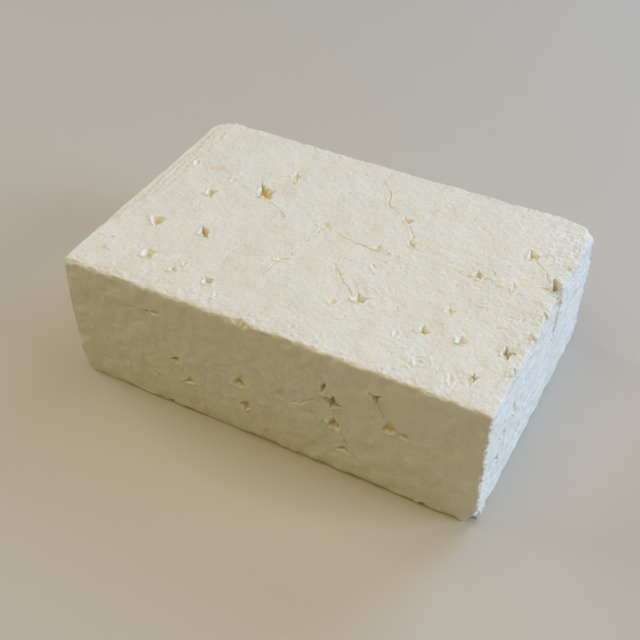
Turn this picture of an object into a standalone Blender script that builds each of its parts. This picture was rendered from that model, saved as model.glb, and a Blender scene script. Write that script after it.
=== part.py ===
"""A block of feta cheese, about 227 g, cut from a larger slab of brined cheese.

The block is one solid: a cut slab with edges worn round by handling, faces that bow in a
little, and the star-shaped openings that stay where the drained curd did not knit.

Frame: metres, +Z up, origin under the middle of the flat base. +X runs along the block
towards the freshly cut end, +Y towards its back. The front face is at -Y.
"""

from math import atan2, cos, pi, radians, sin

import bmesh
import bpy
import numpy as np
from mathutils import Matrix, Vector

MM = 0.001

# Outer size of the block
LENGTH = 100 * MM
WIDTH = 66 * MM
HEIGHT = 33.4 * MM
HALF = np.array([LENGTH, WIDTH, HEIGHT]) / 2

# Radius worn on the edges beside each face, from the rubbed old end to the fresh cut
ROUND_OLD_END = 1.5 * MM
ROUND_CUT_END = 0.9 * MM
ROUND_FRONT = 1.0 * MM
ROUND_BACK = 0.9 * MM
ROUND_BASE = 0.9 * MM
ROUND_BLEND = 9 * MM

# The corners of the old end are rounded as seen from above: the side along X, the side along Y,
# the radius and the radius at the foot
SOFT_CORNERS = ((-1, -1, 0.9 * MM, 3.0 * MM), (-1, 1, 5.5 * MM, 5.5 * MM))

# Two corners of the top are rubbed round like a ball: their sides along X, Y and Z, and the radius
BALL_CORNERS = ((1, 1, 1, 3.7 * MM), (-1, -1, 1, 2.0 * MM))

# How far the front, the back and the top bow in, with the length and the starts of the slow
# waves in it
BOW = 0.12 * MM
WAVE = 17 * MM
SIDE_WAVE_START = 0.9
TOP_WAVE_START = 2.2

# Cells of the slab, and the closer loops along each edge
CELL = 5 * MM
EDGE_LOOPS = (0.5 * MM, 1.5 * MM, 3.2 * MM)

# The openings, in millimetres and shares: how far the cutter stands out of the face, how wide
# its floor and its rim are beside its outline at the face, and the waist between two arms as a
# share of their mean length. Waists vary by a share, and directions by some degrees.
MOUTH_RISE = 0.7
FLOOR_SHARE = 0.3
RIM_SHARE = 1.15
WAIST_SHARE = 0.42
SLIT_WAIST_SHARE = 0.3
SLIT_HALF_WIDTH = 0.8
WAIST_SPREAD = 0.35
TWIST = 9

# Each opening: its centre along and up its face, the direction in degrees of its first arm,
# its depth, and the lengths of its arms, which are spread evenly round it. In millimetres.
TOP_OPENINGS = (
    (-22.9, 9.4, 128, 3.2, (3.9, 1.2, 3.6, 3.0)),
    (-33.9, 3.0, 45, 1.8, (2.0, 2.0, 1.4, 1.8)),
    (-38.7, -11.7, 40, 1.8, (2.6, 2.0, 1.5)),
    (-27.1, -10.4, 132, 2.8, (2.7, 1.5, 2.6, 1.3)),
    (-33.7, -22.5, 50, 1.6, (2.6, 1.4, 1.5, 2.4)),
    (-25.8, -24.9, 115, 1.4, (1.4, 1.0, 1.0)),
    (-17.0, -24.4, 55, 1.8, (1.4, 1.5, 1.3, 1.5)),
    (-24.4, -21.9, 105, 0.8, (1.2, 1.2)),
    (-43.8, 12.3, 108, 0.7, (2.0, 2.0)),
    (-19.7, 18.8, 30, 1.1, (2.0, 3.0, 1.5, 2.8)),
    (-6.8, -10.6, 45, 1.6, (1.7, 1.7)),
    (-4.4, 5.1, 330, 0.8, (3.0, 2.0, 2.0)),
    (9.8, 3.1, 340, 0.8, (1.6, 1.5, 1.5)),
    (13.8, -14.5, 30, 1.8, (2.0, 2.0, 1.8, 1.2)),
    (9.4, -18.0, 50, 0.8, (1.2, 1.4, 1.1)),
    (13.3, -21.0, 45, 0.7, (1.1, 1.1)),
    (11.6, -3.5, 125, 0.6, (1.6, 1.9)),
    (11.3, 15.4, 35, 1.3, (1.6, 1.5, 1.6)),
    (15.7, 7.6, 315, 1.3, (2.0, 1.0, 1.6, 1.1)),
    (32.6, 4.2, 20, 1.8, (1.7, 1.6, 1.7, 1.3)),
    (40.2, 4.2, 20, 0.8, (2.0, 2.5, 2.0, 2.5)),
    (40.7, 16.0, 5, 2.0, (1.7, 2.4, 1.7)),
    (31.6, -9.2, 25, 1.3, (1.2, 1.2, 1.2, 0.9)),
    (29.2, -17.2, 15, 1.8, (1.6, 2.0, 1.5, 1.5)),
    (37.1, -16.5, 340, 1.3, (1.6, 1.9, 1.2)),
    (46.3, -15.3, 110, 2.8, (1.8, 1.0, 2.0, 2.0)),
    (42.9, -24.7, 20, 2.0, (1.5, 1.7, 1.4, 1.5)),
    (24.6, -20.5, 105, 0.6, (2.0, 1.1)),
    (22.1, -13.9, 135, 0.7, (1.5, 1.5)),
    (39.2, -27.2, 108, 0.6, (1.9, 1.9)),
    (43.1, -6.4, 5, 0.6, (1.8, 1.6)),
    (48.3, 7.9, 120, 3.6, (3.5, 2.3, 3.8, 2.8)),
    (31.8, -26.1, 20, 0.7, (1.2, 1.4, 1.1)),
    (-13.2, -27.4, 30, 0.6, (1.2, 1.0, 1.1)),
    (-32.0, 10.1, 60, 0.6, (1.1, 0.9, 1.0)),
)
FRONT_OPENINGS = (
    (-25.9, 26.9, 350, 0.8, (2.0, 1.7)),
    (-21.4, 15.1, 315, 1.3, (2.1, 1.5, 1.6)),
    (-18.5, 10.1, 330, 1.0, (1.6, 1.3, 1.6)),
    (-27.4, 7.9, 335, 0.6, (2.0, 2.0)),
    (-34.8, 7.1, 303, 0.6, (1.5, 1.0)),
    (-5.2, 15.6, 85, 1.7, (1.9, 1.8, 1.5)),
    (-4.1, 9.2, 75, 1.7, (1.6, 1.3, 1.4, 1.4)),
    (4.9, 16.1, 355, 0.6, (2.0, 1.2)),
    (14.6, 23.5, 88, 1.8, (2.2, 2.0)),
    (16.7, 20.6, 350, 3.2, (2.6, 1.9, 3.1, 2.2)),
    (17.3, 14.5, 90, 2.0, (2.2, 1.7, 1.4)),
    (26.2, 26.6, 285, 2.0, (2.3, 1.7, 1.6)),
    (29.7, 19.7, 100, 1.2, (2.3, 2.4, 1.9)),
    (33.2, 18.8, 55, 1.0, (1.8, 1.6, 1.3)),
    (19.7, 7.9, 330, 1.0, (2.0, 1.3, 2.7)),
    (37.8, 8.9, 335, 0.5, (1.5, 1.3)),
)
CUT_END_OPENINGS = (
    (7.5, 31.4, 271, 2.4, (4.2, 2.8, 2.6)),
    (6.9, 26.3, 96, 2.4, (5.6, 1.3, 6.6, 1.3)),
    (-16.6, 20.4, 116, 0.9, (4.6, 4.2)),
    (-21.3, 17.6, 87, 0.9, (2.5, 2.8)),
    (-24.6, 12.6, 67, 0.8, (2.4, 2.7)),
    (19.5, 13.9, 62, 0.7, (1.4, 1.5)),
    (30.8, 7.0, 106, 0.7, (2.1, 2.4)),
)

# Small bites out of the edges, in the same terms: the crumbled rim of the cut end, the steps
# along the back and the lifted places under the front
TOP_EDGE_BITES = (
    (49.6, -20.0, 0, 1.2, (1.5, 1.7, 1.4)),
    (49.9, -9.0, 40, 1.0, (1.5, 1.3, 1.6)),
    (50.0, -1.8, 20, 0.8, (1.3, 1.5, 1.2)),
    (49.9, 15.6, 60, 0.9, (1.5, 1.6, 1.3)),
    (50.0, 23.5, 10, 0.8, (1.4, 1.2, 1.4)),
    (28.4, 32.9, 0, 0.8, (2.6, 1.0, 2.4, 1.0)),
    (-2.6, 33.0, 0, 0.6, (2.4, 0.9, 2.8, 0.9)),
    (-37.2, 32.9, 0, 0.7, (2.2, 1.0, 2.6, 1.0)),
)
FRONT_FOOT_BITES = (
    (-24.2, 0.0, 0, 1.0, (2.4, 1.0, 2.6, 1.0)),
    (3.2, 0.0, 0, 0.8, (3.6, 0.8, 3.4, 0.8)),
    (14.0, 0.0, 0, 0.8, (1.2, 0.9, 1.2, 0.9)),
    (38.0, 0.0, 0, 0.8, (1.8, 0.8, 1.5, 0.8)),
)

# The back, the old end and the base get openings by rule, in millimetres: how far they stay from
# the edges and from each other, their reach, and their arms and depths as shares of the reach.
# The middle of the base stays whole.
SCATTER_SEED = 227
BACK_COUNT = 17
OLD_END_COUNT = 11
BASE_COUNT = 18
SCATTER_MARGIN = 4.5
SCATTER_GAP = 6.5
SCATTER_REACH = (0.9, 2.4)
SCATTER_ARMS = (2, 5)
ARM_SHARES = (0.6, 1.1)
DEPTH_SHARES = (0.5, 1.1)
BASE_MIDDLE = (0.0, 0.0)

# The corner that broke away at the foot, where the cut end meets the front: how deep, which way
# it faces, and the side of the cube that cuts it
CORNER_BREAK = 2.6 * MM
CORNER_OUTWARD = (1.0, -1.0, -0.7)
CORNER_CUTTER = 20 * MM

CHEESE_COLOUR = (0.847, 0.807, 0.680, 1.0)
CHEESE_ROUGHNESS = 0.55


def clear_scene():
    """Removes what is in the scene, so that the model starts from nothing."""
    for thing in list(bpy.data.objects):
        bpy.data.objects.remove(thing, do_unlink=True)


def new_collection(name):
    """A new collection in the scene."""
    collection = bpy.data.collections.new(name)
    bpy.context.scene.collection.children.link(collection)
    return collection


def cheese_material():
    """Moist white brined cheese: pale, hardly glossy."""
    material = bpy.data.materials.new("feta")
    material.use_nodes = True
    shader = material.node_tree.nodes["Principled BSDF"]
    shader.inputs["Base Color"].default_value = CHEESE_COLOUR
    shader.inputs["Roughness"].default_value = CHEESE_ROUGHNESS
    shader.inputs["Metallic"].default_value = 0.0
    return material


def near(distance):
    """1 at a face, falling smoothly to 0 at ROUND_BLEND from it."""
    t = np.clip(1 - distance / ROUND_BLEND, 0, 1)
    return t * t * (3 - 2 * t)


def edge_radius(points):
    """The worn radius at points of the slab: a blend of the radii of the side faces close by,
    which passes into the radius of the base on the way down, and into a ball corner's near it."""
    x, y, z = points.T
    weights = np.stack([near(x + HALF[0]), near(HALF[0] - x), near(y + HALF[1]), near(HALF[1] - y)])
    radii = np.array([ROUND_OLD_END, ROUND_CUT_END, ROUND_FRONT, ROUND_BACK])
    upper = (radii @ weights) / np.maximum(weights.sum(axis=0), 1e-6)
    foot = near(z + HALF[2])
    radius = np.where(weights.sum(axis=0) > 0, upper * (1 - foot) + ROUND_BASE * foot, ROUND_FRONT)
    for *sides, ball in BALL_CORNERS:
        radius += (ball - radius) * near(np.linalg.norm(points - HALF * sides, axis=1))
    return radius


def wear_round(points):
    """Rounds the slab: each point is drawn to a distance r from the slab shrunk by r."""
    radius = edge_radius(points)[:, None]
    inner = np.clip(points, radius - HALF, HALF - radius)
    out = points - inner
    length = np.linalg.norm(out, axis=1, keepdims=True)
    return inner + out * radius / np.maximum(length, 1e-9)


def soften_corners(points):
    """Rounds the soft corners: in a square as wide as the radius, each point is drawn towards the
    square's inner corner, until the square is a quarter disc."""
    foot = near(points[:, 2:] + HALF[2])
    for side_x, side_y, upper, lower in SOFT_CORNERS:
        sides = np.array([side_x, side_y])
        radius = upper + (lower - upper) * foot
        local = points[:, :2] * sides - (HALF[:2] - radius)
        share = local.max(axis=1) / np.maximum(np.linalg.norm(local, axis=1), 1e-9)
        drawn = np.where(local.min(axis=1) > 0, share, 1.0)[:, None]
        points[:, :2] = (local * drawn + HALF[:2] - radius) * sides
    return points


def slow_wave(u, v, start):
    """A wave between 0 and 2 over two coordinates: 1 + sin(u/WAVE + start) cos(v/WAVE - start)."""
    return 1 + np.sin(u / WAVE + start) * np.cos(v / WAVE - start)


def bow_faces(points):
    """Draws the front, the back and the top in by slow waves between 0 and 2 BOW. The base stays
    flat, and the pull fades out towards it, so that the block stands wider at its foot."""
    x, y, z = points.T
    height = np.clip((z + HALF[2]) / (2 * HALF[2]), 0, 1)
    front_and_back = slow_wave(x, z, SIDE_WAVE_START) * height * y / HALF[1]
    top = slow_wave(x, y, TOP_WAVE_START) * height**3
    return points - BOW * np.stack([0 * x, front_and_back, top], axis=1)


def worn(points):
    """Points of the square-edged slab, moved to the surface of the worn and bowed block."""
    return bow_faces(soften_corners(wear_round(points))) + np.array([0, 0, HALF[2]])


def cut_into_cells(bm):
    """Cuts the slab across by planes a cell apart, with the closer loops along its edges."""
    for axis, half in enumerate(HALF):
        normal = Vector([float(k == axis) for k in range(3)])
        inside = half - EDGE_LOOPS[-1]
        cells = round(2 * inside / CELL)
        cuts = [inside * (2 * k / cells - 1) for k in range(cells + 1)]
        cuts += [side * (half - loop) for loop in EDGE_LOOPS[:-1] for side in (-1, 1)]
        for cut in cuts:
            whole = bm.verts[:] + bm.edges[:] + bm.faces[:]
            bmesh.ops.bisect_plane(bm, geom=whole, dist=1e-7, plane_co=normal * cut, plane_no=normal)


def slab_mesh():
    """The slab: a cube cut into cells, then worn and bowed, with its flat base as one face."""
    bm = bmesh.new()
    bmesh.ops.create_cube(bm, size=1.0, matrix=Matrix.Diagonal((*(2 * HALF), 1.0)))
    cut_into_cells(bm)
    for vert, point in zip(bm.verts, worn(np.array([vert.co[:] for vert in bm.verts]))):
        vert.co = point
    flat = [face for face in bm.faces if max(vert.co.z for vert in face.verts) < 1e-7]
    bmesh.ops.dissolve_faces(bm, faces=flat)
    mesh = bpy.data.meshes.new("feta_block")
    bm.to_mesh(mesh)
    bm.free()
    return mesh


def face_frame(face):
    """A face's own frame: its first column runs along it, the second up it, the third out."""
    along, up, middle = {
        "top": ((1, 0, 0), (0, 1, 0), (0, 0, HEIGHT)),
        "front": ((1, 0, 0), (0, 0, 1), (0, -HALF[1], 0)),
        "cut_end": ((0, 1, 0), (0, 0, 1), (HALF[0], 0, 0)),
        "back": ((-1, 0, 0), (0, 0, 1), (0, HALF[1], 0)),
        "old_end": ((0, -1, 0), (0, 0, 1), (-HALF[0], 0, 0)),
        "base": ((-1, 0, 0), (0, 1, 0), (0, 0, 0)),
    }[face]
    along, up = Vector(along), Vector(up)
    frame = Matrix((along, up, along.cross(up))).transposed().to_4x4()
    frame.translation = Vector(middle)
    return frame


def seat(frame, across, up):
    """The face's frame, moved to where a place on the face lies on the worn block."""
    place = frame @ Vector((across * MM, up * MM, 0))
    on_block = worn(np.array([place]) - np.array([0, 0, HALF[2]]))[0]
    seated = frame.copy()
    seated.translation = Vector(on_block)
    return seated


def uneven(corner, across, up):
    """A number from -1 to 1 that differs from corner to corner and from opening to opening."""
    return sin(12.9 * corner + 7.1 * across + 3.3 * up)


def waist_of(arms):
    """How far an opening's outline stands from its middle, between two arms."""
    mean = sum(arms) / len(arms)
    return WAIST_SHARE * mean if len(arms) > 2 else min(SLIT_WAIST_SHARE * mean, SLIT_HALF_WIDTH)


def add_star(bm, frame, opening):
    """One opening's cutter: a cone whose rim is drawn out to an arm at every second corner,
    wide at the face and narrow at its floor. No two arms or waists are alike."""
    across, up, turn, depth, arms = opening
    corners = 2 * len(arms)
    step = 2 * pi / corners
    cone = {"radius1": FLOOR_SHARE, "radius2": RIM_SHARE, "depth": depth + MOUTH_RISE}
    star = bmesh.ops.create_cone(bm, cap_ends=True, segments=corners, **cone)["verts"]
    for vert in star:
        corner = round(atan2(-vert.co.x, vert.co.y) / step) % corners
        odd = uneven(corner, across, up)
        reach = waist_of(arms) * (1 + WAIST_SPREAD * odd) if corner % 2 else arms[corner // 2]
        angle = step * corner + radians(turn + TWIST * odd)
        vert.co.xy = vert.co.xy.length * reach * Vector((cos(angle), sin(angle)))
    sunk = Matrix.Translation((0, 0, (MOUTH_RISE - depth) / 2))
    bmesh.ops.transform(bm, matrix=seat(frame, across, up) @ Matrix.Scale(MM, 4) @ sunk, verts=star)


def scatter(rng, count, width, low, high, whole=()):
    """Openings by rule on a face this wide, between two heights: places drawn evenly and kept
    apart from each other and from the places that stay whole, with arms of uneven length."""
    placed = list(whole)
    while len(placed) < count + len(whole):
        across = rng.uniform(SCATTER_MARGIN - width / 2, width / 2 - SCATTER_MARGIN)
        up = rng.uniform(low + SCATTER_MARGIN, high - SCATTER_MARGIN)
        if any(np.hypot(across - other[0], up - other[1]) < SCATTER_GAP for other in placed):
            continue
        reach = rng.uniform(*SCATTER_REACH)
        arms = tuple(reach * rng.uniform(*ARM_SHARES, rng.integers(*SCATTER_ARMS)))
        placed.append((across, up, rng.uniform(0, 360), reach * rng.uniform(*DEPTH_SHARES), arms))
    return placed[len(whole):]


def all_openings():
    """Every opening and bite, face by face."""
    rng = np.random.default_rng(SCATTER_SEED)
    long, wide, high = 2 * HALF / MM
    return {
        "top": TOP_OPENINGS + TOP_EDGE_BITES,
        "front": FRONT_OPENINGS + FRONT_FOOT_BITES,
        "cut_end": CUT_END_OPENINGS,
        "back": scatter(rng, BACK_COUNT, long, 0, high),
        "old_end": scatter(rng, OLD_END_COUNT, wide, 0, high),
        "base": scatter(rng, BASE_COUNT, long, -wide / 2, wide / 2, whole=(BASE_MIDDLE,)),
    }


def as_cutter(cutter, collection):
    """Puts a cutter in its collection alone, shown as wire and kept out of renders."""
    for other in list(cutter.users_collection):
        other.objects.unlink(cutter)
    collection.objects.link(cutter)
    cutter.display_type = "WIRE"
    cutter.hide_render = True


def cut_corner(collection):
    """The cutter for the corner that broke off at the foot: a cube that faces it squarely."""
    bpy.ops.mesh.primitive_cube_add(size=CORNER_CUTTER)
    cutter = bpy.context.object
    cutter.name = "broken_corner"
    outward = Vector(CORNER_OUTWARD).normalized()
    cutter.rotation_euler = outward.to_track_quat("Z", "Y").to_euler()
    cutter.location = Vector((HALF[0], -HALF[1], 0)) + outward * (CORNER_CUTTER / 2 - CORNER_BREAK)
    as_cutter(cutter, collection)


def cut_openings(collection):
    """One cutter for each face, holding the stars of all its openings."""
    for face, openings in all_openings().items():
        bm = bmesh.new()
        for opening in openings:
            add_star(bm, face_frame(face), opening)
        mesh = bpy.data.meshes.new("openings_" + face)
        bm.to_mesh(mesh)
        bm.free()
        as_cutter(bpy.data.objects.new("openings_" + face, mesh), collection)


def build():
    """The block, with its openings cut by a live Boolean."""
    clear_scene()
    block_collection = new_collection("feta_block")
    cutters = new_collection("openings")
    block = bpy.data.objects.new("feta_block", slab_mesh())
    block.data.materials.append(cheese_material())
    block_collection.objects.link(block)
    cut_openings(cutters)
    cut_corner(cutters)
    cut = block.modifiers.new("openings", "BOOLEAN")
    cut.operation = "DIFFERENCE"
    cut.operand_type = "COLLECTION"
    cut.collection = cutters
    cut.solver = "EXACT"


build()
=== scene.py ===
from math import cos, pi, radians, sin

import bpy
import numpy as np
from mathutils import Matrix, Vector


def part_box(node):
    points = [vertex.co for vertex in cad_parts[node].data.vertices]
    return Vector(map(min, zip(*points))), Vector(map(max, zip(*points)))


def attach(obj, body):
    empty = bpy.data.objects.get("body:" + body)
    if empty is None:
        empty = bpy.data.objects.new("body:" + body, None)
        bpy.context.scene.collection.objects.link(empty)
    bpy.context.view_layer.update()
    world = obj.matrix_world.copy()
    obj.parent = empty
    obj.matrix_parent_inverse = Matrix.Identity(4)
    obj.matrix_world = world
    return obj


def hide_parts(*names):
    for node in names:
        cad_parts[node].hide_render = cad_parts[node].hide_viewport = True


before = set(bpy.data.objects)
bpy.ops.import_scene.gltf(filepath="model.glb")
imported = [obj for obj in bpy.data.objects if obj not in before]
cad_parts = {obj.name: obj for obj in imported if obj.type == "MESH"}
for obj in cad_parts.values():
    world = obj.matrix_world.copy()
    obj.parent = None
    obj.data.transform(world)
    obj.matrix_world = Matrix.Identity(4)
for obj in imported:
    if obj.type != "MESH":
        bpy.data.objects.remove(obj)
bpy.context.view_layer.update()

# The slab. A block of brined feta, sliced with a wire from a larger slab: a flat top, a smooth
# front, one freshly cut end, and one old end rubbed round in its tub. Its surface is worked out
# in millimetres, as a fine net of square cells drawn over the six sides of the CAD's box.
low, high = (np.array(corner) * 1000 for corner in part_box("feta_block"))
HALF = np.round((high - low) / 2, 1)
CELL = 0.2

# The radius worn on the edges beside each face. The old end's corners are rounded seen from above:
# their sides along X and Y, the radius, and the radius at the foot. Two corners of the top are
# rubbed like a ball: their sides along X, Y and Z, and the radius.
ROUND_OLD_END = 1.5
ROUND_CUT_END = 0.9
ROUND_FRONT = 1.0
ROUND_BACK = 0.9
ROUND_BASE = 0.9
ROUND_BLEND = 9.0
SOFT_CORNERS = ((-1, -1, 0.9, 3.0), (-1, 1, 5.5, 5.5))
BALL_CORNERS = ((1, 1, 1, 3.7), (-1, -1, 1, 2.0))

# How far the front, the back and the top bow in, and the length and starts of the slow waves.
BOW = 0.12
WAVE = 17.0
SIDE_WAVE_START = 0.9
TOP_WAVE_START = 2.2

# A place counts as on a face from this share of its direction, and in full from this much more.
# The skin's relief fades out towards the base over the last height.
FACE_FROM = 0.5
FACE_BLEND = 0.4
BASE_BLEND = 1.2


def net_over_box():
    """The corners of a net of square cells over a box's six sides, and its cells as rows of four
    corner numbers that run anticlockwise seen from outside. Corners on an edge belong to both
    sides, so the net is closed."""
    counts = np.round(2 * HALF / CELL).astype(int)
    outer = np.zeros(counts + 1, bool)
    outer[[0, -1]] = outer[:, [0, -1]] = outer[:, :, [0, -1]] = True
    corners = np.argwhere(outer) / counts * 2 * HALF - HALF
    number = np.cumsum(outer, dtype=np.int32).reshape(outer.shape) - 1
    cells = []
    for axis in range(3):
        for side in (0, -1):
            sheet = np.take(number, side, axis=axis)
            ring = [sheet[:-1, :-1], sheet[1:, :-1], sheet[1:, 1:], sheet[:-1, 1:]]
            runs_inward = (axis == 1) != (side == 0)
            ring = ring[::-1] if runs_inward else ring
            cells.append(np.stack(ring, axis=-1).reshape(-1, 4))
    return corners, np.concatenate(cells)


def ease(t):
    """0 up to t = 0, 1 from t = 1, and 3t^2 - 2t^3 between."""
    t = np.clip(t, 0, 1)
    return t * t * (3 - 2 * t)


def near(distance):
    """1 at a side, easing to 0 at ROUND_BLEND from it."""
    return ease(1 - distance / ROUND_BLEND)


def edge_radius(places):
    """The worn radius: the mean of the radii of the four upright sides, each weighted by how near
    it is. It passes into the radius of the base on the way down, and into a ball corner's near it."""
    x, y, z = places.T
    weights = np.stack([near(x + HALF[0]), near(HALF[0] - x), near(y + HALF[1]), near(HALF[1] - y)])
    radii = np.array([ROUND_OLD_END, ROUND_CUT_END, ROUND_FRONT, ROUND_BACK])
    upper = (radii @ weights) / np.maximum(weights.sum(axis=0), 1e-6)
    foot = near(z + HALF[2])
    radius = np.where(weights.sum(axis=0) > 0, upper * (1 - foot) + ROUND_BASE * foot, ROUND_FRONT)
    for *sides, ball in BALL_CORNERS:
        radius += (ball - radius) * near(np.linalg.norm(places - HALF * sides, axis=1))
    return radius


def soften_corners(places, out):
    """Rounds the old end's corners seen from above. In a square as wide as the radius, each place
    is drawn towards the square's inner corner, until the square is a quarter disc, and the
    directions out of it turn with the disc's rim."""
    foot = near(places[:, 2:] + HALF[2])
    for side_x, side_y, upper, lower in SOFT_CORNERS:
        sides = np.array([side_x, side_y])
        radius = upper + (lower - upper) * foot
        local = places[:, :2] * sides - (HALF[:2] - radius)
        distance = np.maximum(np.linalg.norm(local, axis=1, keepdims=True), 1e-9)
        inside = local.min(axis=1, keepdims=True) > 0
        drawn = np.where(inside, local.max(axis=1, keepdims=True) / distance, 1.0)
        places[:, :2] = (local * drawn + HALF[:2] - radius) * sides
        level = np.linalg.norm(out[:, :2], axis=1, keepdims=True)
        out[:, :2] = np.where(inside, level * local / distance * sides, out[:, :2])
    return places, out


def slow_wave(u, v, start):
    """1 + sin(u/WAVE + start) cos(v/WAVE - start), between 0 and 2."""
    return 1 + np.sin(u / WAVE + start) * np.cos(v / WAVE - start)


def worn(places):
    """Places on the square-edged box, moved to the worn block, and the directions out of it.
    With r the worn radius, each goes to distance r from the box shrunk by r. Then the front, the
    back and the top are drawn in by BOW times a slow wave, which fades at the foot."""
    radius = edge_radius(places)[:, None]
    inner = np.clip(places, radius - HALF, HALF - radius)
    out = places - inner
    out = out / np.maximum(np.linalg.norm(out, axis=1, keepdims=True), 1e-9)
    rounded, out = soften_corners(inner + out * radius, out)
    x, y, z = rounded.T
    height = np.clip((z + HALF[2]) / (2 * HALF[2]), 0, 1)
    front_and_back = slow_wave(x, z, SIDE_WAVE_START) * height * y / HALF[1]
    top = slow_wave(x, y, TOP_WAVE_START) * height**3
    bowed = rounded - BOW * np.stack([0 * x, front_and_back, top], axis=1)
    return bowed + np.array([0, 0, HALF[2]]), out


def on_face(share):
    """0 to 1 by how far a place lies on a face, from the share of its direction that is the
    face's own."""
    return ease((share - FACE_FROM) / FACE_BLEND)


box_places, cells = net_over_box()
surface, outward = worn(box_places)
x, y, z = surface.T
on_top = on_face(outward[:, 2])
on_front = on_face(-outward[:, 1])
on_cut_end = on_face(outward[:, 0])
above_base = ease(z / BASE_BLEND)

# The skin of the slab. The wire leaves swells a tenth or two of a millimetre deep, the torn cut
# end is streaked along its length, and the curd crumbles along the edges that were cut last. All
# of it goes inward from the worn form, so that the block keeps its size.
SKIN_SET_BACK = 0.2

# Noise repeats after this many of its cells. It stands askew, turned about all three axes, so
# that no line of it runs along an edge. Where it should hardly change along an axis, its size
# there is about the block's length.
LATTICE = 48
ASKEW = np.array([[0.8, 0.36, 0.48], [-0.6, 0.48, 0.64], [0, -0.8, 0.6]])
STEADY = 99.0


def noise(places, size, seed):
    """Smooth noise from -1 to 1: random values on a lattice of this size in millimetres, eased
    from one to the next. The lattice stands askew, or square where it has a size for each axis."""
    values = np.random.default_rng(seed).uniform(-1, 1, (LATTICE, LATTICE, LATTICE))
    scaled = places / np.array(size) if np.ndim(size) else places @ ASKEW / size
    cell = np.floor(scaled).astype(int)
    t = ease(scaled - cell)
    total = np.zeros(len(places))
    for corner in np.ndindex(2, 2, 2):
        weight = np.prod(np.where(corner, t, 1 - t), axis=1)
        total += weight * values[tuple(((cell + corner) % LATTICE).T)]
    return total


def curd_seeds(places, size, seed):
    """Distances to the nearest and second nearest of seeds strewn one to each cubic cell of this
    size, and a number from 0 to 1 that belongs to the nearest seed."""
    rng = np.random.default_rng(seed)
    offset = rng.uniform(0.1, 0.9, (LATTICE, LATTICE, LATTICE, 3))
    mark = rng.uniform(0, 1, (LATTICE, LATTICE, LATTICE))
    scaled = places / size
    cell = np.floor(scaled).astype(int)
    first = np.full(len(places), 9.0)
    second = np.full(len(places), 9.0)
    nearest = np.zeros(len(places))
    for step in np.ndindex(3, 3, 3):
        other = cell + step - 1
        index = tuple((other % LATTICE).T)
        distance = np.linalg.norm(other + offset[index] - scaled, axis=1)
        second = np.minimum(second, np.maximum(first, distance))
        nearest = np.where(distance < first, mark[index], nearest)
        first = np.minimum(first, distance)
    return first * size, second * size, nearest


# Where the curd crumbles: the middle of each place and its reach along and across the top, and
# how much it crumbles there. Along three rims, the distance from the rim, the reach and how much.
# On the front, the middle and the reach along and up.
CRUMBLY_PLACES = (
    (45, 22, 9.0, 14.0, 1.0),
    (31, -26, 4.2, 4.2, 1.0),
    (-29, -24, 9.0, 4.5, 0.8),
    (44, -8, 6.0, 9.0, 0.6),
    (39, -27, 9.0, 5.0, 0.6),
    (-40, 14, 5.0, 5.0, 0.5),
    (-20, 19, 4.0, 4.0, 0.5),
)
CRUMBLY_RIMS = ((HALF[0] - x, 3.5, 1.0), (HALF[1] + y, 4.5, 0.8), (HALF[1] - y, 2.0, 0.6))
FRONT_SCRATCHES = ((-39.6, 13.2, 4.0, 5.0), (-18.5, 24.4, 3.5, 1.5), (4.4, 16.4, 6.0, 3.0), (36, 9, 9.0, 5.0))
SCRATCHED = 0.6
CLOUD_SIZE = 7.0
CLOUDED = 0.4
RIM_SIZE = 5.0
RIM_UNEVEN = 0.5


def crumbles(away):
    """1 in the middle of a crumbly place, 0 from about its reach, with an uneven rim."""
    return ease(1.5 - away + RIM_UNEVEN * rim_wander)


rim_wander = noise(surface, RIM_SIZE, 11)
crumbly = CLOUDED * ease((noise(surface, CLOUD_SIZE, 12) - 0.2) / 0.4)
for middle_x, middle_y, reach_x, reach_y, amount in CRUMBLY_PLACES:
    away = 1.5 * np.hypot((x - middle_x) / reach_x, (y - middle_y) / reach_y)
    crumbly = np.maximum(crumbly, amount * crumbles(away))
for from_rim, reach, amount in CRUMBLY_RIMS:
    crumbly = np.maximum(crumbly, amount * crumbles(from_rim / reach))
crumbly *= on_top
for middle_x, middle_z, reach_x, reach_z in FRONT_SCRATCHES:
    away = 1.5 * np.hypot((x - middle_x) / reach_x, (z - middle_z) / reach_z)
    crumbly = np.maximum(crumbly, SCRATCHED * on_front * crumbles(away))

# Swells of the skin: their size across, their depth, how much deeper they are on the front, and
# the seed of their noise. Crumbled grain has the size across, the depth and the seed.
SWELLS = ((8.0, 0.08, 0.0, 1), (3.0, 0.13, 0.1, 2), (1.4, 0.08, 0.14, 5))
GRAINS = ((1.1, 0.12, 3), (0.6, 0.1, 4))

# Faint lines that the wire drew along the top, from its middle to the cut end.
WIRE_LINE_SIZE = (14.0, 1.1, 1.1)
WIRE_LINE_DEPTH = 0.05
WIRE_LINE_SLANT = 0.5
WIRE_LINES_FROM = 8
WIRE_LINES_BLEND = 20

# Streaks and finer threads that run along the torn cut end.
STREAK_SIZE = (1.2, 7.0, 0.8)
THREAD_SIZE = (1.0, 2.5, 0.5)
THREAD_SHARE = 0.9
TORN_DEPTH = 0.24
TORN_CRUMBLY = 0.9

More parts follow.
